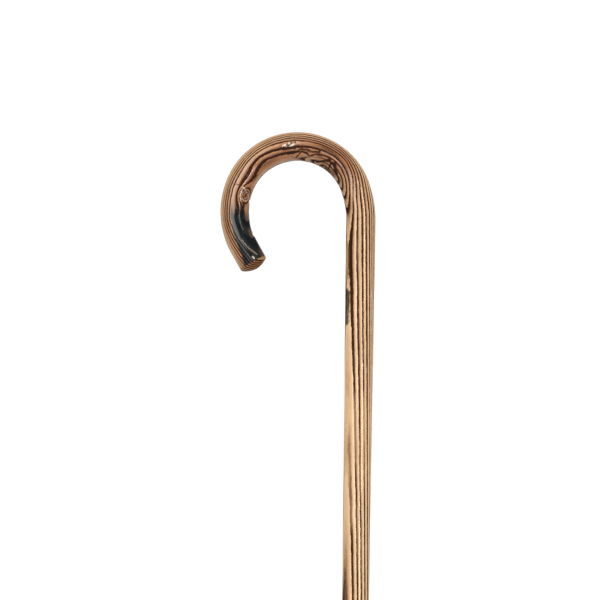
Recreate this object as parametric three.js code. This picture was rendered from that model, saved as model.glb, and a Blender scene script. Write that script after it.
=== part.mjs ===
// A wooden crook-handled walking cane with one rubber tip.
//
// The stick is a single piece of hardwood: a tapered blank is turned straight and then steam-bent
// into the crook. A rubber tip is pushed over its lower end, and a steel washer moulded into the
// floor of the tip's socket carries the stick's end.
//
// Frame: millimetres, +Z up along the shaft, origin at the centre of the tip's underside.
// The crook bends towards -X, in the XZ plane.

import * as THREE from 'three';

// --- Driving dimensions -------------------------------------------------------------------------

const BEND_START = 845.8;        // where the straight shaft ends; the top of the crook is at 914

// Crook centreline: three tangent arcs, from the shaft outwards, then a short straight nose.
const ARCS = [
  { radius: 78.4, degrees: 20 },   // easing out of the shaft
  { radius: 46.1, degrees: 135 },  // the main bend
  { radius: 55.6, degrees: 55 },   // opening towards the nose
];
const NOSE_STRAIGHT = 19.2;      // from the last arc to the tip of the nose
const NOSE_EDGE_ROUND = 2;       // rounding where the nose meets its end face
const NOSE_DOME = 3;             // how far the end face bulges

// The wood's radius at lengths along the stick, measured up the shaft and on round the crook.
const WOOD_RADII = [
  [0, 8], [660, 10.45], [770, 10.95], [796, 11.15], [880, 11.25], [960, 11.05], [1055, 10.85],
];
const STICK_END_CHAMFER = 1;

// Rubber tip, for a 16 mm stick.
const TIP_HEIGHT = 42;
const TIP_BASE_RADIUS = 17;
const TIP_NECK_RADIUS = 11.7;
const TIP_LIP_RADIUS = 12.9;
const TREAD_DEPTH = 2;
const TREAD_PAD_RADIUS = 4.6;    // flat disc in the middle of the underside
const TREAD_RINGS = [[7, 9.6], [12, 15.3]];      // inner and outer radius of each tread ring
const RIB_HEIGHTS = [23.5, 27.5, 31.5];
const RIB_DEPTH = 0.8;

// Steel washer.
const WASHER_BOTTOM = 9.6;
const WASHER_THICKNESS = 1.6;
const WASHER_RADIUS = 9.6;
const WASHER_HOLE_RADIUS = 3;

const SEAT_GAP = 0.1;            // between the washer and the rubber around it
const FIT_GAP = 0.15;            // between the wood and the rubber, each side
const END_GAP = 0.2;             // between the wood's end and the washer

const STICK_SIDES = 32;
const TIP_SIDES = 40;
const DEGREES_PER_BEND_STEP = 5;

// --- Sizes that follow --------------------------------------------------------------------------

const BEND_LENGTH = ARCS.reduce((sum, arc) => sum + arcLength(arc), 0);
const NOSE_END = BEND_START + BEND_LENGTH + NOSE_STRAIGHT;
const WASHER_TOP = WASHER_BOTTOM + WASHER_THICKNESS;
const SEAT_FLOOR = WASHER_BOTTOM - SEAT_GAP;
const SEAT_TOP = WASHER_TOP + SEAT_GAP;
const SEAT_RADIUS = WASHER_RADIUS + SEAT_GAP;
const STICK_END = WASHER_TOP + END_GAP;
const BORE_RADIUS = woodRadius(TIP_HEIGHT) + FIT_GAP;

// --- Materials ----------------------------------------------------------------------------------

const scorchedWood = new THREE.MeshStandardMaterial({ color: 0xb5773f, roughness: 0.35, metalness: 0 });
const blackRubber = new THREE.MeshStandardMaterial({ color: 0x1b1a19, roughness: 0.75, metalness: 0 });
const washerSteel = new THREE.MeshStandardMaterial({ color: 0xb4b6b8, roughness: 0.4, metalness: 1 });

// --- Helpers ------------------------------------------------------------------------------------

function arcLength({ radius, degrees }) {
  return radius * THREE.MathUtils.degToRad(degrees);
}

// Radius of the wood at a length along the stick.
function woodRadius(length) {
  const next = Math.max(1, WOOD_RADII.findIndex(([at]) => at > length));
  const [fromLength, fromRadius] = WOOD_RADII.at(next - 1);
  const [toLength, toRadius] = WOOD_RADII.at(next);
  return THREE.MathUtils.mapLinear(length, fromLength, toLength, fromRadius, toRadius);
}

// A point of the centreline and its direction, at a length along the stick measured from the floor.
// `turned` is how far the line has turned from +Z towards -X.
function centreline(length) {
  const at = { x: 0, z: Math.min(length, BEND_START), turned: 0 };
  let left = Math.max(length - BEND_START, 0);
  for (const arc of ARCS) {
    const angle = Math.min(left, arcLength(arc)) / arc.radius;
    const turned = at.turned + angle;
    at.x += arc.radius * (Math.cos(turned) - Math.cos(at.turned));
    at.z += arc.radius * (Math.sin(turned) - Math.sin(at.turned));
    at.turned = turned;
    left -= arc.radius * angle;
  }
  at.x -= left * Math.sin(at.turned);
  at.z += left * Math.cos(at.turned);
  return at;
}

// Points along part of an ellipse, by its centre, radii and end angles.
function arcPoints(x, y, radiusX, radiusY, fromDegrees, toDegrees, steps) {
  return Array.from({ length: steps + 1 }, (_, i) => {
    const angle = THREE.MathUtils.degToRad(fromDegrees + ((toDegrees - fromDegrees) * i) / steps);
    return [x + radiusX * Math.cos(angle), y + radiusY * Math.sin(angle)];
  });
}

// A solid of revolution about +Z, from [radius, height] points running up its outside.
function turnedSolid(points, sides) {
  const profile = points.map(([radius, height]) => new THREE.Vector2(radius, height));
  return new THREE.LatheGeometry(profile, sides).rotateX(Math.PI / 2);
}

function part(name, geometry, material) {
  const mesh = new THREE.Mesh(geometry, material);
  mesh.name = name;
  return mesh;
}

// --- Stick --------------------------------------------------------------------------------------

// Lengths along the stick at which the blank has a ring of vertices, below the nose's end.
function ringLengths() {
  const shaft = WOOD_RADII.map(([length]) => length)
    .filter((length) => length > TIP_HEIGHT && length < BEND_START);
  const bend = [];
  let start = BEND_START;
  for (const arc of ARCS) {
    const steps = Math.ceil(arc.degrees / DEGREES_PER_BEND_STEP);
    for (let i = 0; i < steps; i++) bend.push(start + (arcLength(arc) * i) / steps);
    start += arcLength(arc);
  }
  return [TIP_HEIGHT, ...shaft, ...bend, start];
}

// The rounded edge and domed end face of the nose.
function noseProfile() {
  const edgeBase = NOSE_END - NOSE_DOME - NOSE_EDGE_ROUND;
  const faceRadius = woodRadius(edgeBase) - NOSE_EDGE_ROUND;
  const edge = arcPoints(faceRadius, edgeBase, NOSE_EDGE_ROUND, NOSE_EDGE_ROUND, 0, 60, 2);
  const [domeRadius, domeBase] = edge.at(-1);
  const dome = [0.75, 0.45, 0].map((share) => [
    domeRadius * share,
    domeBase + (NOSE_END - domeBase) * (1 - share ** 2),
  ]);
  return [...edge, ...dome];
}

// The straight blank, as [radius, length] points from its lower end to its nose.
function blankProfile() {
  const endRadius = woodRadius(STICK_END);
  return [
    [0, STICK_END],
    [endRadius - STICK_END_CHAMFER, STICK_END],
    [endRadius, STICK_END + STICK_END_CHAMFER],
    ...ringLengths().map((length) => [woodRadius(length), length]),
    ...noseProfile(),
  ];
}

// Bends a straight blank that stands along +Z onto the crook's centreline.
function steamBend(geometry) {
  const position = geometry.getAttribute('position');
  for (let i = 0; i < position.count; i++) {
    const across = position.getX(i);
    const { x, z, turned } = centreline(position.getZ(i));
    position.setX(i, x + across * Math.cos(turned));
    position.setZ(i, z + across * Math.sin(turned));
  }
  return geometry;
}

function stick() {
  return part('stick', steamBend(turnedSolid(blankProfile(), STICK_SIDES)), scorchedWood);
}

// --- Rubber tip ---------------------------------------------------------------------------------

// Underside, from the middle outwards: a pad, then raised tread rings with grooves between them.
function treadProfile() {
  const slope = TREAD_DEPTH * 0.3;
  const rings = TREAD_RINGS.flatMap(([inner, outer]) => [
    [inner - slope, TREAD_DEPTH],
    [inner, 0],
    [outer, 0],
    [outer + slope, TREAD_DEPTH],
  ]);
  rings.pop();
  return [[0, 0], [TREAD_PAD_RADIUS, 0], [TREAD_PAD_RADIUS + slope, TREAD_DEPTH], ...rings];
}

// Outside, from the tread up: rounded base, concave flare, ribbed neck and rolled lip.
function outsideProfile() {
  const baseRound = TIP_BASE_RADIUS - TREAD_RINGS.at(-1)[1];
  const flareWidth = TIP_BASE_RADIUS - TIP_NECK_RADIUS;
  const flareBottom = 6;
  const flareTop = RIB_HEIGHTS[0] - 2.5;
  const ribs = RIB_HEIGHTS.flatMap((height) => [
    [TIP_NECK_RADIUS, height - 1.2],
    [TIP_NECK_RADIUS + RIB_DEPTH, height],
    [TIP_NECK_RADIUS, height + 1.2],
  ]);
  const lipRound = 2;
  return [
    ...arcPoints(TIP_BASE_RADIUS - baseRound, baseRound, baseRound, baseRound, -60, 0, 2),
    ...arcPoints(TIP_BASE_RADIUS, flareTop, flareWidth, flareTop - flareBottom, 270, 180, 5),
    ...ribs,
    ...arcPoints(TIP_LIP_RADIUS - lipRound, TIP_HEIGHT - lipRound, lipRound, lipRound, -60, 75, 5),
  ];
}

// Socket, from its mouth down: a plain bore, with the washer's seat undercut at its floor.
function socketProfile() {
  const mouthChamfer = 0.8;
  return [
    [BORE_RADIUS + mouthChamfer, TIP_HEIGHT],
    [BORE_RADIUS, TIP_HEIGHT - mouthChamfer],
    [BORE_RADIUS, SEAT_TOP],
    [SEAT_RADIUS, SEAT_TOP],
    [SEAT_RADIUS, SEAT_FLOOR],
    [0, SEAT_FLOOR],
  ];
}

function rubberTip() {
  const profile = [...treadProfile(), ...outsideProfile(), ...socketProfile()];
  return part('rubber_tip', turnedSolid(profile, TIP_SIDES), blackRubber);
}

// --- Steel washer -------------------------------------------------------------------------------

function steelWasher() {
  const profile = [
    [WASHER_HOLE_RADIUS, WASHER_BOTTOM],
    [WASHER_RADIUS, WASHER_BOTTOM],
    [WASHER_RADIUS, WASHER_TOP],
    [WASHER_HOLE_RADIUS, WASHER_TOP],
    [WASHER_HOLE_RADIUS, WASHER_BOTTOM],
  ];
  return part('steel_washer', turnedSolid(profile, TIP_SIDES), washerSteel);
}

// --- Cane ---------------------------------------------------------------------------------------

const cane = new THREE.Group();
cane.add(stick(), rubberTip(), steelWasher());

export default cane;
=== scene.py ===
# A bent-wood cane of scorched, varnished hardwood on a rubber tip, in a plain white studio.
import itertools
import math

import bmesh
import bpy
import numpy as np
from mathutils import Matrix, Vector


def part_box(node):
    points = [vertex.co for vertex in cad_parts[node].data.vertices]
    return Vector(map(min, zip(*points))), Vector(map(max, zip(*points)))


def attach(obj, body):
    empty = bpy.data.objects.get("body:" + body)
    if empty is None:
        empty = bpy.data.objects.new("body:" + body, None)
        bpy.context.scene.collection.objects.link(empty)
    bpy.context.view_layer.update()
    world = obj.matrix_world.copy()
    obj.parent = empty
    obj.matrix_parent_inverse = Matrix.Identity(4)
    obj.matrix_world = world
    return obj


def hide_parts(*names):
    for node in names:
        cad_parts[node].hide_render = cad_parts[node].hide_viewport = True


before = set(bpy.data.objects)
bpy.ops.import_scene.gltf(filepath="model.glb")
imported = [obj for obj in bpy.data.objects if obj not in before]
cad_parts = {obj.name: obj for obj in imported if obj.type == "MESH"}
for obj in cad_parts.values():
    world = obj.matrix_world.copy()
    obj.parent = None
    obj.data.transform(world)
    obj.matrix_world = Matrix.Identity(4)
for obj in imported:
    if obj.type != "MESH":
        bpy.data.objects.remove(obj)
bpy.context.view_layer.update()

MM = 0.001

# --- Sizes, in millimetres, as in the CAD model ---------------------------------------------------

BEND_START = 845.8
ARCS = ((78.4, 20), (46.1, 135), (55.6, 55))    # radius and angle of each arc of the crook
NOSE_STRAIGHT = 19.2
NOSE_EDGE_ROUND = 2.0
NOSE_DOME = 3.0                                 # how far the nose's end face stands out in the middle
WOOD_LENGTHS = (0, 660, 770, 796, 880, 960, 1055)           # places along the stick
WOOD_RADII = (8, 10.45, 10.95, 11.15, 11.25, 11.05, 10.85)  # and its radius there
STICK_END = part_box("stick")[0].z / MM
STICK_END_CHAMFER = 1.0
BEND_LENGTH = sum(radius * math.radians(angle) for radius, angle in ARCS)
NOSE_END = BEND_START + BEND_LENGTH + NOSE_STRAIGHT
SKIN = 0.06                                     # how far the fine surface stays inside the CAD one

# --- Helpers --------------------------------------------------------------------------------------


def smooth(x, low, high):
    """0 below low, 1 above high, and smooth between."""
    t = np.clip((x - low) / (high - low), 0, 1)
    return t * t * (3 - 2 * t)


def lattice(i, j, k, seed):
    """A fixed random number between -1 and 1 for each whole-number point."""
    n = (i * 73856093) ^ (j * 19349663) ^ (k * 83492791) ^ (seed * 2654435761)
    n = ((n ^ (n >> 13)) * 1274126177) & 0x7FFFFFFF
    n = ((n ^ (n >> 15)) * 668265263) & 0x7FFFFFFF
    return (n & 0xFFFF) / 32767.5 - 1


def noise(x, y, z, seed):
    """Smooth noise between -1 and 1, with one cell to each unit."""
    x, y, z = np.broadcast_arrays(x, y, z)
    cells = [np.floor(c).astype(np.int64) for c in (x, y, z)]
    weights = [smooth(c - np.floor(c), 0, 1) for c in (x, y, z)]
    total = np.zeros(x.shape)
    for corner in itertools.product((0, 1), repeat=3):
        share = np.ones(x.shape)
        for bit, weight in zip(corner, weights):
            share = share * (weight if bit else 1 - weight)
        total += share * lattice(*(c + bit for c, bit in zip(cells, corner)), seed)
    return total


def wood_radius(length):
    """The stick's radius at each length along it."""
    return np.interp(length, WOOD_LENGTHS, WOOD_RADII)


def centreline(length):
    """x, z and the angle turned from +Z towards -X, at each length along the stick."""
    x = np.zeros_like(length)
    z = np.minimum(length, BEND_START)
    turned = np.zeros_like(length)
    left = np.maximum(length - BEND_START, 0)
    for radius, degrees in ARCS:
        angle = np.minimum(left, radius * math.radians(degrees)) / radius
        x += radius * (np.cos(turned + angle) - np.cos(turned))
        z += radius * (np.sin(turned + angle) - np.sin(turned))
        turned += angle
        left -= radius * angle
    return x - left * np.sin(turned), z + left * np.cos(turned), turned


def grid_mesh(name, points, closed=True):
    """A tube through rows of points; a closed one has a fan of faces onto the middle of each end."""
    rows, columns, _ = points.shape
    index = np.arange(rows * columns).reshape(rows, columns)
    right = np.roll(index, -1, axis=1)
    faces = np.stack([index[:-1], right[:-1], right[1:], index[1:]], -1).reshape(-1, 4).tolist()
    vertices = points.reshape(-1, 3).tolist()
    ends = ((0, True), (rows - 1, False)) if closed else ()
    for row, flip in ends:
        middle = len(vertices)
        vertices.append(points[row].mean(0).tolist())
        for a, b in zip(index[row].tolist(), right[row].tolist()):
            faces.append((b, a, middle) if flip else (a, b, middle))
    mesh = bpy.data.meshes.new(name)
    mesh.from_pydata(vertices, [], faces)
    mesh.update()
    return mesh


def show(name, mesh, material, body, slot, *replaced):
    """Puts a mesh in the scene as a piece that rides on a body and replaces CAD nodes."""
    piece = bpy.data.objects.new(name, mesh)
    bpy.context.scene.collection.objects.link(piece)
    mesh.materials.append(material)
    mesh.shade_smooth()
    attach(piece, body)
    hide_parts(*replaced)


# --- The wood's grain -----------------------------------------------------------------------------
# Worked out in the straight blank, before it was bent: length along the stick in millimetres, and the
# angle round it in degrees, from the crook's flat side that faces -Y towards the outside of the bend.

RING_TILT = 55                  # angle between the growth rings and the crook's plane
GRAIN_SLOPE = 0.026             # how fast the rings run out along the shaft
LEVEL_GRAIN = 760               # the length at which that leaves the shaft's lines where they are
SHAFT_SLOPE_ENDS = (845, 890)   # lengths over which it stops
NOSE_SLOPE = 0.16               # how fast the rings run out along the nose
NOSE_SLOPE_START = 1012
CROOK_LINES_TAKE_OVER = (862, 900)      # lengths over which the shaft's lines become the crook's

# Where each growth line lies across the wood, in the shaft and in the crook.
SHAFT_LINES = (-29.3, -26.6, -24.0, -21.0, -18.4, -15.7, -13.0, -10.2, -7.5, -4.4, -1.4,
               1.6, 4.2, 6.7, 9.2, 11.9, 14.6, 17.3)
CROOK_LINES = (-24.0, -21.5, -19.0, -16.5, -13.8, -10.5, -7.8, -3.0, -1.0, 1.0, 3.1,
               5.4, 7.8, 10.2, 12.6, 15.0, 17.4, 19.8)

# The tables say where things look to be from the front and a little below, so the grain lies lower.
GRAIN_TWIST = 10                # degrees round the stick, at the top of the crook
GRAIN_SLIP = 1.9                # mm along the stick, on the shaft and on the nose

# Where the rings swerve: length, angle, reach down and up the stick, reach round it, and push in mm.
SWERVES = (
    (902, -70, 50, 20, 50, 8.0),    # round the branch on the inside of the bend
    (993, -37, 6.5, 6.5, 25, 7.5),  # round the knot
    (1003, -10, 9, 9, 20, -1.4),
    (957, -15, 14, 12, 34, 0.9),
    (977, -12, 8, 7, 30, -1.0),
)

BRANCH = (903, -45, 22, 26, 40)         # the restless grain round the branch, in the same order

# Marks burnt or split into the wood: from length and angle, to length and angle, half-width in mm,
# and how black.
MARKS = (
    ((771, -63), (792, -61), 3.4, 0.74),
    ((797, -38), (818, -42), 0.75, 0.85),
    ((818, -42), (840, -40), 0.75, 0.9),
    ((828.5, -33), (828.5, -43), 0.45, 1.0),
    ((890, -44), (898, -19), 1.5, 1.0),
    ((900, -18), (899, -58), 0.9, 0.95),
    ((902, -18), (912, -58), 1.2, 1.0),
    ((912.6, -7), (918, -17), 0.8, 0.9),
    ((918, -17), (922.5, -12.5), 0.8, 0.95),
    ((922.5, -12.5), (927.7, -12.5), 0.75, 0.9),
    ((927.7, -12.5), (930, -25), 0.7, 0.9),
    ((930, -25), (938, -33), 0.9, 0.9),
    ((903, -9), (915.5, -24), 0.8, 0.9),
    ((915.5, -24), (919.7, -38), 0.8, 0.95),
    ((919.7, -38), (922.5, -27), 0.8, 0.95),
    ((922.5, -27), (926.7, -23), 0.7, 0.9),
    ((926.7, -23), (931.5, -54), 0.6, 0.85),
    ((931.5, 16), (934, 0), 0.6, 0.9),
    ((934.5, 17), (937, 2), 0.5, 0.9),
    ((938, 12), (941, 3), 0.5, 0.8),
    ((932, -8), (942, -9), 0.9, 1.0),
    ((934, -50), (934.2, -50), 0.45, 1.2),
    ((986.3, 15), (986.3, -10), 0.22, 0.9),
    ((989.5, -22), (990.5, -46), 0.5, 1.0),
    ((993, -37), (994.5, -37), 0.4, 0.9),
    ((999.5, -37), (1003, -40), 0.9, 1.0),
    ((998.6, -1), (1004.2, -12), 0.4, 0.8),
    ((1050, -36), (1050.2, -36), 0.45, 1.2),
)

# Scratches showing pale wood, and one painted glint by the nose's end: from, to, half-width in mm, and
# how pale.
SCRATCHES_AND_GLINT = (
    ((987.0, -13), (988.0, -30), 0.35, 0.45),
    ((1030.0, -6), (1038.0, -14), 0.3, 0.25),
    ((1038.0, -14), (1045.0, -33), 0.3, 0.3),
    # A painted glint: a pale mark that stands for a highlight on the varnish at the nose's end.
    ((1045.2, -11), (1047.0, -14), 0.45, 0.7),
)
# The pale specks placed here are painted glints, standing for highlights on the pit's rough varnish.
PIT = (936.5, 8, 5.0, 9)        # length and angle of the chipped pit, and its reach each way
KNOT = (993.5, -37, 3.6)        # length and angle of the knot, and the radius of its pale ring

# Soft scorched patches: length, angle, reach along the stick, reach round it, and how black.
PATCHES = (
    (893, -50, 8, 16, 0.6),
    (908, -42, 7, 13, 0.6),
    (907, 15, 14, 12, 0.7),
    (887, -8, 9, 9, 0.5),
    (884, -48, 9, 12, 0.55),
    (936.5, -4, 6, 8, 0.8),
    (936.5, 8, 5, 7, 0.6),
    (958, -35, 17, 11, 0.62),
    (975, -52, 11, 10, 0.62),
    (990, -40, 3, 10, 0.5),
    (1001, -34, 5, 9, 0.6),
)

# Where the growth lines fade: length, angle, reach along the stick, reach round it, and how far.
# Below 0 they get darker instead.
FADES = (
    (680, 20, 45, 9, 0.75),
    (815, -9, 24, 8, 0.6),
    (680, -62, 60, 34, 1.3),
    (816, -64, 26, 17, 1.2),
    (965, 68, 80, 22, 1.0),
    (1028, 70, 30, 22, 0.9),
    (962, 2, 22, 10, 0.3),
    (868, -17, 16, 12, 0.5),
    (770, -10, 35, 8, -0.5),
    (790, 40, 90, 8, -0.8),
    (780, 62, 110, 11, 0.5),
    (1003, -2, 12, 16, -0.4),
    (920, -25, 13, 30, 1.3),
    (900, -58, 11, 22, 0.8),
    (905, -2, 7, 22, 0.6),
)

# Where heat has browned the wood more, and below 0 less: length, angle, reach down and up the stick,
# reach round it, and how much.
BROWNINGS = (
    (960, -31, 26, 22, 15, 0.55),
    (903, 8, 24, 18, 34, 0.3),
    (955, 5, 20, 30, 10, -0.12),
    (966, 34, 24, 24, 14, -0.35),
    (925, -60, 14, 14, 25, -0.15),
)
OUTSIDE_PALER = 0.4             # how much less browned the outside of the bend is
OUTSIDE = (20, 62)              # degrees from the very outside over which that ends

# Where the varnish is thinner: length, angle, reach down and up the stick, reach round it, and how much.
THIN_VARNISH = (
    (1010, -30, 25, 60, 24, 0.5),
    (1012, -17, 10, 25, 12, 0.35),
)

# Hollows, and below 0 swellings: length, angle, reach along the stick, reach round it, and mm deep.
HOLLOWS = (
    (990, -40, 1.6, 14, 0.35),
    (1027.5, -88, 1.5, 12, 0.9),
    (995.5, -88, 1.3, 12, 0.8),
    (902, -60, 3, 25, 0.3),
    (993, -36, 5, 20, -0.12),
)
PIT_HOLLOW = (935.5, 4, 4.4, 4.6, 13)   # length, angle, reach down and up the stick, and round it
PIT_DEPTH = 0.9                         # mm, on average
MARK_DEPTH = 0.25                       # mm, for the blackest marks

# A value that changes along the stick: first at the foot, then each change's start, end and amount.
BROWNING_ALONG = (0.1, (790, 850, 0.3), (862, 900, 0.45))
LINE_STRENGTH_ALONG = (1.0, (690, 790, 0.4), (1046, 1050, 0.5))
VARNISH_ALONG = (0.7, (840, 900, 0.3), (1030, 1042, -0.4), (1047.5, 1050.5, -0.4))
RESTLESSNESS_ALONG = (0.12, (850, 900, 0.3))

# The growth lines' groove, as shares of a ring, and its depth and the surface's waves in mm.
GROOVE_AT = 0.14
GROOVE_WIDTH = 0.12
GROOVE_DEPTH = 0.09
WAVE_DEPTH = 0.1

# The charred nose, in lengths along the stick and angles round it.
CHAR_START = (992, 1016)
CHAR_END = (1047.6, 1049.2)
CHAR_EDGE = 22                  # its outer edge,
CHAR_EDGE_SOFTNESS = 6
CHAR_WIDENING = 17              # and how much further out that is by the end
CHAR_WIDENS = (1036, 1047)
CHAR_THINS = (-47, -41)         # here, towards the inside of the bend, it gets thinner,
CHAR_INSIDE = 0.72              # down to this share,
CHAR_INSIDE_END = (-115, -80)   # and here it stops

STROKE_ARC_MM = math.radians(11)        # mm for each degree round the stick, for the marks
KNOT_ARC_MM = math.radians(9.5)         # and for the knot's ring,
KNOT_STRETCH = 1.1                      # which is longer along the stick


def along_stick(length, table):
    """A value that changes smoothly along the stick, from one of the tables above."""
    value, *changes = table
    for start, end, amount in changes:
        value = value + amount * smooth(length, start, end)
    return value


def grain_noise(place, long, wide, seed):
    """Noise between -1 and 1 in cells this long and this wide, in millimetres."""
    length, _, across, depth = place
    return noise(length / long, across / wide, depth / wide, seed)


def hump(place, at, facing, below, above, spread):
    """1 at one place on the stick, falling off smoothly round it."""
    length, angle = place[:2]
    away = (angle - facing + 180) % 360 - 180
    reach = np.where(length < at, below, above)
    return np.exp(-((length - at) / reach) ** 2 - (away / spread) ** 2)


def round_hump(place, at, facing, reach, spread):
    """The same, reaching as far down the stick as up it."""
    return hump(place, at, facing, reach, reach, spread)


def stroke(place, start, end, width, wobble):
    """1 along a line drawn on the stick, and 0 beyond its ragged edges."""
    length, angle = place[:2]
    along, away = length - start[0], (angle - start[1]) * STROKE_ARC_MM
    run, rise = end[0] - start[0], (end[1] - start[1]) * STROKE_ARC_MM
    share = np.clip((along * run + away * rise) / (run ** 2 + rise ** 2), 0, 1)
    distance = np.hypot(along - share * run, away - share * rise) + wobble
    return 1 - smooth(distance, 0.5 * width, 1.5 * width)


def blank_place(length, angle, radius, turned):
    """Where a point of the bent stick lies in the grain: length, angle, across and depth."""
    length = length + GRAIN_SLIP * np.cos(turned)
    angle = (angle + GRAIN_TWIST * np.sin(turned) + 180) % 360 - 180
    return length, angle, radius * np.sin(np.radians(angle)), -radius * np.cos(np.radians(angle))


def ring_level(place):
    """How far out each point of the wood lies, square to the growth rings, in millimetres."""
    length, _, across, depth = place
    tilt = math.radians(RING_TILT)
    level = across * math.sin(tilt) + depth * math.cos(tilt)
    for *spot, push in SWERVES:
        level -= push * hump(place, *spot)
    restless = along_stick(length, RESTLESSNESS_ALONG)
    level += restless * grain_noise(place, 13, 9, 1)
    level += 0.5 * restless * grain_noise(place, 4.5, 4, 2)
    return level + 0.8 * hump(place, *BRANCH) * grain_noise(place, 5, 2.2, 11)


def ring_lines(length):
    """Where every growth line lies at one length along the stick."""
    slope = GRAIN_SLOPE * (length - LEVEL_GRAIN) * (1 - smooth(length, *SHAFT_SLOPE_ENDS))
    slope += NOSE_SLOPE * max(length - NOSE_SLOPE_START, 0)
    share = smooth(length, *CROOK_LINES_TAKE_OVER)
    return np.array(SHAFT_LINES) * (1 - share) + np.array(CROOK_LINES) * share - slope


def count_rings(length, level):
    """The ring each point lies in, as a running number, and the width of that ring in mm."""
    rings, widths = np.empty_like(level), np.empty_like(level)
    for row, at in enumerate(length[:, 0]):
        lines = ring_lines(at)
        rings[row] = np.interp(level[row], lines, np.arange(len(lines)))
        widths[row] = np.interp(rings[row], np.arange(len(lines) - 1) + 0.5, np.diff(lines))
    return rings, widths


def line_strength(place):
    """How dark the growth lines are; above 1 they also get wider."""
    strength = along_stick(place[0], LINE_STRENGTH_ALONG) + 0.35 * grain_noise(place, 26, 3.5, 3)
    for *spot, amount in FADES:
        strength -= amount * round_hump(place, *spot)
    return np.clip(strength, 0.05, 2)


def toasting(place):
    """How far heat has browned the wood: little on the shaft, more round the crook."""
    length, angle = place[:2]
    heat = along_stick(length, BROWNING_ALONG) + 0.12 * grain_noise(place, 24, 9, 4)
    for *spot, amount in BROWNINGS:
        heat += amount * hump(place, *spot)
    heat -= OUTSIDE_PALER * (1 - smooth(np.abs(angle - 90), *OUTSIDE))
    return np.clip(heat, 0, 1)


def scorching(place):
    """How far the surface is burnt: in the marks, the soft patches and the charred nose."""
    length, angle = place[:2]
    wobble = 0.45 * grain_noise(place, 2.4, 1.5, 5) + 0.3 * grain_noise(place, 1.2, 0.9, 14)
    char = np.zeros(length.shape)
    for start, end, width, strength in MARKS:
        char = np.maximum(char, strength * stroke(place, start, end, width, wobble * width))
    for *spot, strength in PATCHES:
        char = np.maximum(char, strength * round_hump(place, *spot))
    edge = CHAR_EDGE + 8 * noise(length / 7, 0, 0, 6) + CHAR_WIDENING * smooth(length, *CHAR_WIDENS)
    outside = 1 - smooth(angle, edge - CHAR_EDGE_SOFTNESS, edge + CHAR_EDGE_SOFTNESS)
    facing_out = smooth(angle, *CHAR_THINS)
    inside = CHAR_INSIDE * (1 - facing_out) * smooth(angle, *CHAR_INSIDE_END)
    streaky_length = length + 8 * grain_noise(place, 30, 0.8, 9)
    along = smooth(streaky_length, *CHAR_START) * (1 - smooth(length, *CHAR_END))
    return np.clip(np.maximum(char, along * (outside * facing_out + inside)), 0, 1.2)


def chipping_and_glints(place):
    """How far pale wood shows in scratches and a ring round the knot, and painted glints as pale specks
    in the pit.
    """
    length, angle, across, depth = place
    bare = np.zeros(length.shape)
    wobble = grain_noise(place, 1.1, 0.9, 12)
    for start, end, width, strength in SCRATCHES_AND_GLINT:
        bare = np.maximum(bare, strength * stroke(place, start, end, width, 0.2 * width * wobble))
    # Painted glints: pale specks in the pit that stand for highlights on its rough varnish.
    slanted = length + 0.12 * angle
    painted_glints = smooth(grain_noise((slanted, angle, across, depth), 1.25, 1.4, 13), 0.12, 0.4)
    in_pit = smooth(round_hump(place, *PIT), 0.25, 0.6)
    bare = np.maximum(bare, 0.85 * painted_glints * in_pit)
    at, facing, radius = KNOT
    away = np.hypot((length - at) / KNOT_STRETCH, (angle - facing) * KNOT_ARC_MM) + 0.3 * wobble
    ring = 0.26 * (1 - smooth(np.abs(away - radius), 0.2, 1.1)) * smooth(wobble, -0.6, 0.3)
    return np.clip(np.maximum(bare, ring), 0, 1)


def varnish(place):
    """How thickly the varnish lies: full on the crook, thinner on the shaft and the charred nose."""
    thick = along_stick(place[0], VARNISH_ALONG)
    for *spot, amount in THIN_VARNISH:
        thick -= amount * hump(place, *spot)
    return thick


def relief(place, rings, strength):
    """How far the surface lies below a true round one, in millimetres."""
    into_ring = rings - np.floor(rings)
    groove = np.exp(-(((into_ring - GROOVE_AT) / GROOVE_WIDTH) ** 2)) * np.minimum(strength, 1)
    sunk = GROOVE_DEPTH * groove + WAVE_DEPTH * (1 + grain_noise(place, 34, 12, 7))
    sunk += hump(place, *PIT_HOLLOW) * PIT_DEPTH * (1 + grain_noise(place, 1.4, 1.3, 8))
    for start, end, width, black in MARKS:
        sunk += MARK_DEPTH * black * stroke(place, start, end, width, 0)
    for *spot, amount in HOLLOWS:
        sunk += amount * round_hump(place, *spot)
    return np.maximum(sunk, 0)


# --- Stick ----------------------------------------------------------------------------------------

COLUMNS = 116                   # points round the stick
PLAIN_ROWS = (620, 3.5)         # up to this length, where nothing is marked, rows are this far apart,
SHAFT_ROWS = (880, 1.0)         # then up to this one,
CROOK_ROWS = 350                # and this many rows are left for the rest of the crook
EDGE_TURNS = (8, 60, 7)         # rows over the nose's rounded edge: first and last angle, and number
DOME_SHARES = (0.93, 0.04, 14)  # rows over its end face: first and last share of its radius, and number
SOCKET_DEPTH = 60               # the wood that can be inside the rubber tip,
SOCKET_RELIEF = 0.3             # which has a smoother surface
FULL_RELIEF_RADIUS = 8          # towards the middle of the end face the relief fades out


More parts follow.
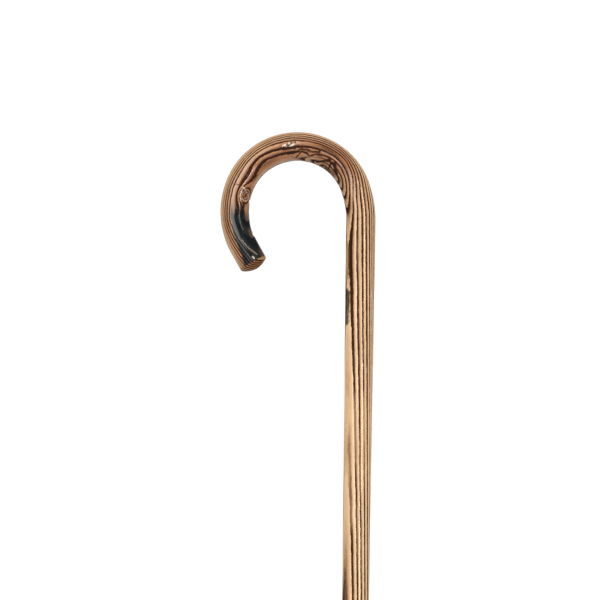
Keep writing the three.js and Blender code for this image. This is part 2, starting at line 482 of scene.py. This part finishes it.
def stick_rings():
    """Radius and length of each ring of points, from the lower end to the nose."""
    base = NOSE_END - NOSE_DOME - NOSE_EDGE_ROUND
    straight = np.concatenate([
        np.arange(STICK_END + STICK_END_CHAMFER, *PLAIN_ROWS),
        np.arange(PLAIN_ROWS[0], *SHAFT_ROWS),
        np.linspace(SHAFT_ROWS[0], base, CROOK_ROWS),
    ])
    face = wood_radius(base) - NOSE_EDGE_ROUND
    turn = np.radians(np.linspace(*EDGE_TURNS))
    edge = np.stack([np.cos(turn), np.sin(turn)], 1) * NOSE_EDGE_ROUND + [face, base]
    share = np.linspace(*DOME_SHARES)
    dome_start = edge[-1]
    dome_length = dome_start[1] + (NOSE_END - dome_start[1]) * (1 - share ** 2)
    dome = np.stack([dome_start[0] * share, dome_length], 1)
    end = wood_radius(STICK_END)
    foot = [(end * 0.5, STICK_END), (end - STICK_END_CHAMFER, STICK_END)]
    body = np.stack([wood_radius(straight), straight], 1)
    return np.concatenate([foot, body, edge, dome])


def stick_mesh():
    """The stick's surface with its relief, and what the wood's material needs at each vertex."""
    rows = stick_rings()
    angle = np.linspace(-180, 180, COLUMNS, endpoint=False)[None, :]
    radius = rows[:, :1]
    length = np.repeat(rows[:, 1:], COLUMNS, axis=1)
    x, z, turned = centreline(length)

    place = blank_place(length, angle, radius, turned)
    rings, ring_widths = count_rings(place[0], ring_level(place))
    strength = line_strength(place)
    sunk = smooth(radius, 0, FULL_RELIEF_RADIUS) * relief(place, rings, strength)
    sunk = SKIN + np.where(length < SOCKET_DEPTH, SOCKET_RELIEF, 1) * sunk

    kept = radius - np.minimum(sunk, radius * 0.5)
    across = kept * np.sin(np.radians(angle))
    depth = -kept * np.cos(np.radians(angle))
    points = np.stack([x + across * np.cos(turned), depth, z + across * np.sin(turned)], -1) * MM
    mesh = grid_mesh("stick_wood", points)

    values = {
        "rings": rings, "ring_width": ring_widths, "line_strength": strength,
        "toasting": toasting(place), "scorching": scorching(place), "chipping_and_glints": chipping_and_glints(place),
        "varnish": varnish(place), "along": place[0], "across": place[2], "depth": place[3],
    }
    for name, value in values.items():
        store(mesh, name, value)
    return mesh


def store(mesh, name, values):
    """Keeps one number for each vertex; the middle of each end has the mean of its ring."""
    flat = np.concatenate([values.reshape(-1), values[[0, -1]].mean(1)])
    mesh.attributes.new(name, "FLOAT", "POINT").data.foreach_set("value", flat.astype(np.float32))


# --- Rubber tip and washer ------------------------------------------------------------------------

TIP_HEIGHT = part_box("rubber_tip")[1].z / MM
TIP_BASE_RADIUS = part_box("rubber_tip")[1].x / MM
TIP_NECK_RADIUS = 11.7
TIP_LIP_RADIUS = 12.9
TIP_LIP_ROUND = 2.0
TREAD_DEPTH = 2.0
TREAD_TAPER = 0.3               # how far its grooves' walls lean, as a share of their depth
TREAD_PAD_RADIUS = 4.6
TREAD_RINGS = ((7, 9.6), (12, 15.3))    # inner and outer radius of each
RIB_HEIGHTS = (23.5, 27.5, 31.5)
RIB_DEPTH = 0.8
RIB_HALF_WIDTH = 1.2
FLARE_BOTTOM = 6.0              # the height at which the flared foot is as wide as the base
FLARE_GAP = 2.5                 # and how far below the first rib it starts
SOCKET_CHAMFER = 0.8
AXIS_HOLE = 0.3                 # where a turned profile stops, short of the axis, for the closing fan
WASHER_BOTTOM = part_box("steel_washer")[0].z / MM
WASHER_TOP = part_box("steel_washer")[1].z / MM
WASHER_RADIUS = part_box("steel_washer")[1].x / MM
WASHER_HOLE_RADIUS = 3.0
SEAT_GAP = 0.1                  # room round the washer
BORE_GAP = 0.15                 # and round the wood
BORE_RADIUS = float(wood_radius(TIP_HEIGHT)) + BORE_GAP


def arc(x, z, radius_x, radius_z, start, end, steps):
    """Points along part of an ellipse, as radius and height."""
    angles = [math.radians(start + (end - start) * i / steps) for i in range(steps + 1)]
    return [(x + radius_x * math.cos(a), z + radius_z * math.sin(a)) for a in angles]


def rounded(profile, radius, steps=3):
    """The same profile with its corners rounded by up to about the given radius."""
    made = [profile[0]]
    for before, corner, after in zip(profile, profile[1:], profile[2:]):
        p, q, r = Vector(before), Vector(corner), Vector(after)
        reach = min(radius, (p - q).length * 0.45, (r - q).length * 0.45)
        a = q + (p - q).normalized() * reach
        b = q + (r - q).normalized() * reach
        for i in range(steps + 1):
            t = i / steps
            made.append(tuple(a * (1 - t) ** 2 + q * 2 * t * (1 - t) + b * t ** 2))
    return made + [profile[-1]]


def turned_mesh(name, profile, sides=128, ring=False):
    """A solid of revolution about Z, through (radius, height) points in mm, or a ring round Z."""
    angles = np.linspace(0, 2 * math.pi, sides, endpoint=False)
    rows = np.array(profile)
    if ring:
        rows = np.concatenate([rows, rows[:1]])
    points = np.stack([
        rows[:, :1] * np.cos(angles), rows[:, :1] * np.sin(angles), np.repeat(rows[:, 1:], sides, 1),
    ], -1) * MM
    mesh = grid_mesh(name, points, closed=not ring)
    if ring:
        weld(mesh)
    return mesh


def weld(mesh):
    """Joins the points that lie on each other."""
    made = bmesh.new()
    made.from_mesh(mesh)
    bmesh.ops.remove_doubles(made, verts=made.verts, dist=1e-7)
    made.to_mesh(mesh)
    made.free()


def tread_profile():
    """The underside, from the axis outwards: a pad and two rings that stand out by the tread's depth."""
    slope = TREAD_DEPTH * TREAD_TAPER
    points = [(AXIS_HOLE, 0), (TREAD_PAD_RADIUS, 0), (TREAD_PAD_RADIUS + slope, TREAD_DEPTH)]
    for inner, outer in TREAD_RINGS:
        points += [(inner - slope, TREAD_DEPTH), (inner, 0), (outer, 0), (outer + slope, TREAD_DEPTH)]
    return points[:-1]


def outside_profile():
    """The outside, from the floor up: flared foot, ribs and rolled lip."""
    base_round = TIP_BASE_RADIUS - TREAD_RINGS[-1][1]
    flare_width = TIP_BASE_RADIUS - TIP_NECK_RADIUS
    flare_top = RIB_HEIGHTS[0] - FLARE_GAP
    points = arc(TIP_BASE_RADIUS - base_round, base_round, base_round, base_round, -60, 0, 8)
    points += arc(TIP_BASE_RADIUS, flare_top, flare_width, flare_top - FLARE_BOTTOM, 268, 182, 24)
    for height in RIB_HEIGHTS:
        points += [
            (TIP_NECK_RADIUS, height - RIB_HALF_WIDTH),
            (TIP_NECK_RADIUS + RIB_DEPTH, height),
            (TIP_NECK_RADIUS, height + RIB_HALF_WIDTH),
        ]
    lip_at = (TIP_LIP_RADIUS - TIP_LIP_ROUND, TIP_HEIGHT - TIP_LIP_ROUND)
    return points + arc(*lip_at, TIP_LIP_ROUND, TIP_LIP_ROUND, -60, 80, 16)


def socket_profile():
    """The socket, from the lip down: chamfer, bore, the washer's undercut seat, and the floor."""
    seat_radius = WASHER_RADIUS + SEAT_GAP
    seat_top, seat_bottom = WASHER_TOP + SEAT_GAP, WASHER_BOTTOM - SEAT_GAP
    return [
        (BORE_RADIUS + SOCKET_CHAMFER, TIP_HEIGHT), (BORE_RADIUS, TIP_HEIGHT - SOCKET_CHAMFER),
        (BORE_RADIUS, seat_top), (seat_radius, seat_top),
        (seat_radius, seat_bottom), (AXIS_HOLE, seat_bottom),
    ]


def tip_mesh():
    """The rubber tip, turned from its underside, outside and socket."""
    profile = rounded(tread_profile(), 0.5) + rounded(outside_profile(), 0.5)
    return turned_mesh("tip_rubber", profile + rounded(socket_profile(), 0.3))


def washer_mesh():
    """A flat ring with rounded edges."""
    low, high = WASHER_BOTTOM, WASHER_TOP
    middle = (low + high) / 2
    inner, outer = WASHER_HOLE_RADIUS, WASHER_RADIUS
    corners = [(inner, middle), (inner, low), (outer, low), (outer, high), (inner, high), (inner, middle)]
    return turned_mesh("washer_metal", rounded(corners, 0.25)[:-1], ring=True)


# --- Materials ------------------------------------------------------------------------------------


class Shader:
    """Short calls for building a material's node tree."""

    def __init__(self, name):
        self.material = bpy.data.materials.new(name)
        self.material.use_nodes = True
        self.tree = self.material.node_tree
        self.surface = self.tree.nodes["Principled BSDF"]

    def add(self, kind, inputs=(), **settings):
        node = self.tree.nodes.new("ShaderNode" + kind)
        for key, value in settings.items():
            setattr(node, key, value)
        for key, value in dict(inputs).items():
            self.set(node.inputs[key], value)
        return node

    def set(self, socket, value):
        if isinstance(value, bpy.types.NodeSocket):
            self.tree.links.new(value, socket)
        else:
            socket.default_value = value

    def math(self, operation, *values, clamp=False):
        node = self.add("Math", operation=operation, use_clamp=clamp)
        for socket, value in zip(node.inputs, values):
            self.set(socket, value)
        return node.outputs[0]

    def attribute(self, name):
        return self.add("Attribute", attribute_name=name).outputs["Fac"]

    def ramp(self, value, *stops):
        """A curve of straight lines through the stops; each is a value and what it becomes."""
        node = self.add("ValToRGB", {"Fac": value})
        elements = node.color_ramp.elements
        while len(elements) < len(stops):
            elements.new(0.5)
        for element, (place, grey) in zip(elements, stops):
            element.position = place
            element.color = (grey, grey, grey, 1)
        return node.outputs["Color"]

    def noise(self, vector, scale, detail=2.0, roughness=0.5):
        return self.add("TexNoise", {
            "Vector": vector, "Scale": scale, "Detail": detail, "Roughness": roughness,
        }).outputs["Fac"]

    def vector(self, x, y, z):
        return self.add("CombineXYZ", {"X": x, "Y": y, "Z": z}).outputs[0]

    def bump(self, height, distance, strength, **under):
        """A bumped normal; Normal=another lays it over that one."""
        inputs = {"Height": height, "Distance": distance, "Strength": strength, **under}
        return self.add("Bump", inputs).outputs[0]


def mix_colours(shader, share, first, second):
    """The first colour where share is 0 and the second where it is 1."""
    node = shader.add("Mix", data_type="RGBA")
    colour_inputs = [socket for socket in node.inputs if socket.type == "RGBA"]
    shader.set(node.inputs[0], share)
    for socket, value in zip(colour_inputs, (first, second)):
        shader.set(socket, value if isinstance(value, bpy.types.NodeSocket) else (*value, 1))
    return [socket for socket in node.outputs if socket.type == "RGBA"][0]


PALE_WOOD = (0.63, 0.43, 0.25)
TAN_WOOD = (0.53, 0.32, 0.15)
TOASTED_WOOD = (0.265, 0.108, 0.042)
STAINED_WOOD = (0.25, 0.1, 0.032)       # beside a growth line
STAINED_TOASTED = (0.11, 0.036, 0.012)
LINE_BROWN = (0.034, 0.012, 0.004)
LINE_TOASTED = (0.026, 0.007, 0.003)
SCORCH = (0.022, 0.008, 0.004)
CHAR = (0.0045, 0.0075, 0.0085)
# Pale uncovered wood, also the colour of painted glints, highlights painted as pale marks.
BARE_WOOD_AND_GLINT = (0.72, 0.60, 0.50)

# The wood's patterns: cells to each millimetre across it, and the share of that along it.
FIBRE_SCALE, FIBRE_DRAWN = 5.5, 0.045
PORE_SCALE, PORE_DRAWN = 2.6, 0.12
CLOUD_SCALE, CLOUD_DRAWN = 0.16, 0.25
VARNISH_SCALE = 0.9

SOOT_STARTS = 995               # the length at which burnt brown turns to char black,
SOOT_LENGTH = 10                # over this many mm


def growth_lines(s, width, into_ring):
    """How far each point is into a dark line and into the stain beside it, before their strength."""
    past_line = s.math("MULTIPLY", into_ring, width)
    past_line = s.math("DIVIDE", past_line, s.math("MULTIPLY_ADD", width, 0.3, 0.25))
    past_line = s.math("MULTIPLY", past_line, 0.4)
    line = s.ramp(
        past_line, (0.0, 0.4), (0.03, 1.0), (0.34, 0.95), (0.44, 0.35), (0.58, 0.08), (1.0, 0.0),
    )
    halo = s.ramp(past_line, (0.0, 0.7), (0.3, 1.0), (0.75, 0.25), (1.0, 0.0))
    return line, halo


def wood_material():
    """Growth lines, pores and fibres in the straight blank, browned, burnt, chipped, with painted glints,
    and varnished.
    """
    s = Shader("scorched_wood")
    across, depth, along = (s.attribute(name) for name in ("across", "depth", "along"))
    fibres = s.vector(across, depth, s.math("MULTIPLY", along, FIBRE_DRAWN))
    pores_at = s.vector(across, depth, s.math("MULTIPLY", along, PORE_DRAWN))
    clouds_at = s.vector(across, depth, s.math("MULTIPLY", along, CLOUD_DRAWN))
    solid = s.vector(across, depth, along)

    # The rings, with a ragged edge, and a strength for each year.
    coarse = s.math("MULTIPLY_ADD", s.noise(pores_at, 1.5, 3.0, 0.6), 0.28, -0.14)
    fine = s.math("MULTIPLY_ADD", s.noise(fibres, 9.0, 2.0), 0.16, -0.08)
    rings = s.math("ADD", s.attribute("rings"), s.math("ADD", coarse, fine))
    into_ring = s.math("FRACT", rings)
    ring_number = s.math("FLOOR", rings)
    year = s.add("TexWhiteNoise", {"W": ring_number}, noise_dimensions="1D").outputs["Value"]
    year_strength = s.math("MULTIPLY_ADD", year, 0.4, 0.8)
    strength = s.math("MULTIPLY", s.attribute("line_strength"), year_strength)
    line, halo = growth_lines(s, s.attribute("ring_width"), into_ring)
    line = s.math("MULTIPLY", line, strength, clamp=True)
    halo = s.math("MULTIPLY", halo, strength, clamp=True)

    # Pores, mostly in each ring's early wood.
    pore = s.add("TexVoronoi", {"Vector": pores_at, "Scale": PORE_SCALE}, feature="F1")
    pore = s.ramp(pore.outputs["Distance"], (0.0, 1.0), (0.28, 0.75), (0.42, 0.0))
    early = s.ramp(into_ring, (0.0, 0.8), (0.25, 1.0), (0.5, 0.25), (1.0, 0.08))
    pores = s.math("MULTIPLY", pore, early)

    # Colour: fibres, heat in soft clouds, the stain beside the lines, the lines and the pores.
    fibre = s.noise(fibres, FIBRE_SCALE, 4.0, 0.65)
    clouds = s.math("MULTIPLY_ADD", s.noise(clouds_at, CLOUD_SCALE, 3.0, 0.55), 0.5, -0.25)
    toast = s.math("ADD", s.attribute("toasting"), clouds, clamp=True)
    late = s.ramp(into_ring, (0.0, 0.2), (0.45, 0.55), (0.8, 1.0), (1.0, 0.9))
    tan = s.math("SUBTRACT", s.math("MULTIPLY", fibre, 1.6), late, clamp=True)
    colour = mix_colours(s, tan, PALE_WOOD, TAN_WOOD)
    colour = mix_colours(s, toast, colour, TOASTED_WOOD)
    stain = mix_colours(s, toast, STAINED_WOOD, STAINED_TOASTED)
    colour = mix_colours(s, s.math("MULTIPLY", halo, 0.55), colour, stain)
    dark = mix_colours(s, toast, LINE_BROWN, LINE_TOASTED)
    colour = mix_colours(s, line, colour, dark)
    colour = mix_colours(s, s.math("MULTIPLY", pores, 0.6), colour, dark)

    # Burnt wood with a ragged edge, black towards the nose, and pale wood where it is chipped; the same
    # mix paints glints.
    ragged = s.math("MULTIPLY_ADD", s.noise(pores_at, 1.1, 4.0, 0.65), 0.42, -0.21)
    char = s.math("ADD", s.attribute("scorching"), ragged)
    char = s.ramp(s.math("MULTIPLY", char, s.attribute("scorching")), (0.06, 0.0), (0.6, 1.0))
    soot = s.math("MULTIPLY_ADD", along, 1 / SOOT_LENGTH, -SOOT_STARTS / SOOT_LENGTH, clamp=True)
    burnt = mix_colours(s, soot, SCORCH, CHAR)
    colour = mix_colours(s, s.math("MULTIPLY", char, 0.97), colour, burnt)
    # This pale mix also paints glints: specks in the pit and a mark by the nose's end stand for
    # highlights.
    colour = mix_colours(s, s.attribute("chipping_and_glints"), colour, BARE_WOOD_AND_GLINT)
    s.set(s.surface.inputs["Base Color"], colour)

    # The wood's own surface.
    height = s.math("ADD", s.math("MULTIPLY", line, -0.5), s.math("MULTIPLY", pores, -0.5))
    height = s.math("MULTIPLY_ADD", fibre, 0.12, height)
    s.set(s.surface.inputs["Normal"], s.bump(height, 0.0002, 0.5))
    s.set(s.surface.inputs["Roughness"], s.math("MULTIPLY_ADD", fibre, 0.15, 0.42))
    s.surface.inputs["Specular IOR Level"].default_value = 0.0

    # The varnish over it, which has sunk into the lines, the pores and the scorched marks.
    grain = s.bump(height, 0.00012, 0.35)
    orange_peel = s.noise(solid, VARNISH_SCALE, 2.0)
    s.set(s.surface.inputs["Coat Normal"], s.bump(orange_peel, 0.00012, 0.35, Normal=grain))
    scorch = s.math("MULTIPLY", char, s.math("SUBTRACT", 1.0, soot))
    sunk = s.math("MAXIMUM", s.math("MAXIMUM", line, pores), scorch)
    coat = s.math("MULTIPLY", s.attribute("varnish"), s.math("MULTIPLY_ADD", sunk, -0.85, 1.0))
    s.set(s.surface.inputs["Coat Weight"], coat)
    s.surface.inputs["Coat IOR"].default_value = 1.5
    s.surface.inputs["Coat Roughness"].default_value = 0.12
    return s.material


def object_space(s):
    """The place on the object, in metres."""
    return s.add("TexCoord").outputs["Object"]


RUBBER_BLACK = (0.012, 0.011, 0.011)
RUBBER_GREY = (0.024, 0.023, 0.022)
RUBBER_WORN = (0.11, 0.1, 0.09)
SCUFF_HEIGHT = 0.012            # metres above the floor, below which the rubber is worn
STEEL_DARK = (0.42, 0.43, 0.45)
STEEL_PALE = (0.56, 0.57, 0.58)
# Painted light: the floor is darker near the cane, where the lamps light it most, and paler further out.
FLOOR_NEAR_PAINTED_SHADE = (0.56, 0.56, 0.55)
FLOOR_FAR_PAINTED_LIGHT = (0.92, 0.92, 0.91)
FLOOR_PAINTED_LIGHT_FADE = 0.3                # share of that change for each metre from the cane, after the first


def rubber_material():
    """Mottled black rubber, scuffed near the floor."""
    s = Shader("black_rubber")
    place = object_space(s)
    height = s.add("SeparateXYZ", {"Vector": place}).outputs["Z"]
    mottle = s.noise(place, 220, 4.0, 0.6)
    scuff = s.ramp(s.noise(place, 620, 3.0, 0.7), (0.42, 0.0), (0.62, 1.0))
    low = s.ramp(s.math("DIVIDE", height, SCUFF_HEIGHT), (0.0, 1.0), (0.45, 0.35), (1.0, 0.0))
    worn = s.math("MULTIPLY", low, scuff)
    colour = mix_colours(s, s.ramp(mottle, (0.35, 0.0), (0.7, 1.0)), RUBBER_BLACK, RUBBER_GREY)
    colour = mix_colours(s, s.math("MULTIPLY", worn, 0.6), colour, RUBBER_WORN)
    s.set(s.surface.inputs["Base Color"], colour)
    s.set(s.surface.inputs["Roughness"], s.math("MULTIPLY_ADD", mottle, 0.25, 0.5))
    fine = s.math("MULTIPLY_ADD", worn, 0.8, s.noise(place, 2600, 2.0))
    s.set(s.surface.inputs["Normal"], s.bump(fine, 0.00006, 0.5))
    s.surface.inputs["Specular IOR Level"].default_value = 0.4
    return s.material


def washer_material():
    """Zinc-plated steel with its fine spangle."""
    s = Shader("washer_steel")
    place = object_space(s)
    spangle = s.add("TexVoronoi", {"Vector": place, "Scale": 700.0}).outputs["Color"]
    grey = s.add("RGBToBW", {"Color": spangle}).outputs[0]
    s.set(s.surface.inputs["Base Color"], mix_colours(s, grey, STEEL_DARK, STEEL_PALE))
    s.surface.inputs["Metallic"].default_value = 1.0
    s.set(s.surface.inputs["Roughness"], s.math("MULTIPLY_ADD", grey, 0.15, 0.3))
    s.set(s.surface.inputs["Normal"], s.bump(s.noise(place, 1800, 3.0), 0.00003, 0.4))
    return s.material


def floor_material():
    """Pale paper with painted light: darker near the cane, where the lamps are strong, and paler away
    from it.
    """
    s = Shader("pale_floor")
    place = object_space(s)
    away = s.add("VectorMath", {0: place}, operation="LENGTH").outputs["Value"]
    # Painted light: the colour turns paler away from the cane, where less lamp light falls.
    share = s.math("MULTIPLY_ADD", away, FLOOR_PAINTED_LIGHT_FADE, -FLOOR_PAINTED_LIGHT_FADE, clamp=True)
    cloud = s.math("MULTIPLY_ADD", s.noise(place, 3.0, 3.0), 0.08, -0.04)
    share = s.math("ADD", share, cloud, clamp=True)
    s.set(s.surface.inputs["Base Color"], mix_colours(s, share, FLOOR_NEAR_PAINTED_SHADE, FLOOR_FAR_PAINTED_LIGHT))
    s.surface.inputs["Roughness"].default_value = 0.8
    s.surface.inputs["Specular IOR Level"].default_value = 0.2
    return s.material


# --- Studio ---------------------------------------------------------------------------------------

CAMERA_DISTANCE = 2.5
CAMERA_ELEVATION = -10          # degrees; it looks up
CAMERA_ROLL = 0.98              # degrees
CAMERA_AIM = (-0.04475, 0.12898)        # metres along X, and below the top of the stick
LIGHT_AIM = (-0.045, 0, 0.8)
WARM_WHITE = (1.0, 0.985, 0.97)
WHITE = (1, 1, 1)

# Azimuth and elevation in degrees, distance and size in metres, radiance and colour.
LIGHTS = {
    "key_left": (-26, 14, 1.7, (1.44, 0.95), 4.1, WARM_WHITE),
    "strip_right": (33, 6, 1.7, (0.3, 1.2), 12.5, WARM_WHITE),
    "top": (10, 68, 1.6, (1.2, 1.2), 1.4, WHITE),
    "back_fill": (170, 20, 2.0, (1.4, 1.8), 1.6, WHITE),
}
WORLD_STRENGTH = 0.95
SEEN_BY_CAMERA = 0.1            # added to that for what the camera sees,
SEEN_IN_GLOSS = -0.6            # and for what gloss reflects


def make_camera():
    """Looks up at the crook from below, rolled a little so that the shaft leans."""
    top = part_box("stick")[1].z
    aim = Vector((CAMERA_AIM[0], 0, top - CAMERA_AIM[1]))
    elevation, roll = math.radians(CAMERA_ELEVATION), math.radians(CAMERA_ROLL)
    forward = Vector((0, math.cos(elevation), -math.sin(elevation)))
    right = Vector((1, 0, 0))
    up = right.cross(forward)
    tilted_right = right * math.cos(roll) + up * math.sin(roll)
    tilted_up = up * math.cos(roll) - right * math.sin(roll)
    data = bpy.data.cameras.new("camera")
    data.lens = 200
    data.sensor_width = 36
    data.clip_end = 60
    camera = bpy.data.objects.new("camera", data)
    turn = Matrix((tilted_right, tilted_up, -forward)).transposed().to_4x4()
    camera.matrix_world = Matrix.Translation(aim - forward * CAMERA_DISTANCE) @ turn
    bpy.context.scene.collection.objects.link(camera)
    bpy.context.scene.camera = camera


def softbox(name, azimuth, elevation, distance, size, radiance, colour):
    """A soft light that faces the cane; azimuth 0 is where the camera stands and 90 is +X."""
    a, e = math.radians(azimuth), math.radians(elevation)
    away = Vector((math.sin(a) * math.cos(e), -math.cos(a) * math.cos(e), math.sin(e)))
    data = bpy.data.lights.new(name, "AREA")
    data.shape = "RECTANGLE"
    data.size, data.size_y = size
    data.energy = radiance * math.pi * size[0] * size[1]
    data.color = colour
    light = bpy.data.objects.new(name, data)
    light.location = Vector(LIGHT_AIM) + away * distance
    light.rotation_euler = away.to_track_quat("Z", "Y").to_euler()
    light.visible_camera = False
    bpy.context.scene.collection.objects.link(light)


def make_world():
    """White to the camera, a little dimmer to the surfaces it lights, and much dimmer in gloss."""
    world = bpy.data.worlds.new("studio")
    world.use_nodes = True
    nodes, links = world.node_tree.nodes, world.node_tree.links
    background = nodes["Background"]
    background.inputs["Color"].default_value = (1, 1, 1, 1)
    path = nodes.new("ShaderNodeLightPath")
    to_camera, to_gloss = nodes.new("ShaderNodeMath"), nodes.new("ShaderNodeMath")
    changes = (
        (to_camera, "Is Camera Ray", SEEN_BY_CAMERA),
        (to_gloss, "Is Glossy Ray", SEEN_IN_GLOSS),
    )
    for node, ray, change in changes:
        node.operation = "MULTIPLY_ADD"
        node.inputs[1].default_value = change
        links.new(path.outputs[ray], node.inputs[0])
    to_camera.inputs[2].default_value = WORLD_STRENGTH
    links.new(to_camera.outputs[0], to_gloss.inputs[2])
    links.new(to_gloss.outputs[0], background.inputs["Strength"])
    bpy.context.scene.world = world
    bpy.context.scene.view_settings.view_transform = "Standard"


def make_floor():
    """A wide disc at the height of the tread."""
    bpy.ops.mesh.primitive_circle_add(vertices=96, radius=6, fill_type="NGON", location=(0, 0, 0))
    floor = bpy.context.object
    floor.name = "floor"
    floor.data.materials.append(floor_material())


# --- Scene ----------------------------------------------------------------------------------------

make_camera()
for light_name, light_settings in LIGHTS.items():
    softbox(light_name, *light_settings)
make_world()
make_floor()

show("stick_wood", stick_mesh(), wood_material(), "stick", "scorched_wood", "stick")
show("tip_rubber", tip_mesh(), rubber_material(), "tip", "black_rubber", "rubber_tip")
show("washer_metal", washer_mesh(), washer_material(), "tip", "washer_steel", "steel_washer")
